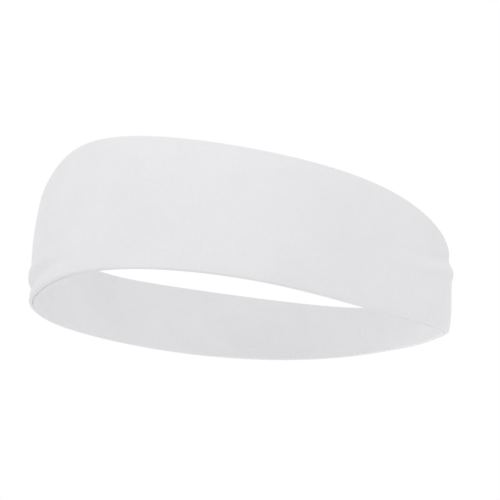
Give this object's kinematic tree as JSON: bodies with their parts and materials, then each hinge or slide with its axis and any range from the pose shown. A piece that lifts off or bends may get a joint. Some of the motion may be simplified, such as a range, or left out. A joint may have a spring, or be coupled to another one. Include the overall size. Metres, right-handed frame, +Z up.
{
  "type": "sports headband",
  "caption": "Wide tapered stretch headband of two knitted layers joined at turned edges, tall over the forehead and low at the nape.",
  "frame": {"origin": "middle of the lower edge's bounding box, on the plane that the band stands on", "axes": "+Z up from the lower edge to the top edge, -Y the front of the head, +X the wearer's left"},
  "size_m": [0.1704, 0.196, 0.0519],
  "materials": {
    "outer_knit": "fine interlock knit, matt with a faint sheen",
    "lining_knit": "fine interlock knit, matt",
    "sewing_thread": "spun polyester thread"
  },
  "bodies": {
    "root": {"outer_shell": "outer_knit", "inner_lining": "lining_knit", "top_edge_needle_thread": "sewing_thread", "top_edge_looper_thread": "sewing_thread", "bottom_edge_needle_thread": "sewing_thread", "bottom_edge_looper_thread": "sewing_thread", "shell_back_seam_needle_thread": "sewing_thread", "shell_back_seam_looper_thread": "sewing_thread", "lining_back_seam_needle_thread": "sewing_thread", "lining_back_seam_looper_thread": "sewing_thread", "turning_gap_closing_thread": "sewing_thread"}
  },
  "joints": []
}
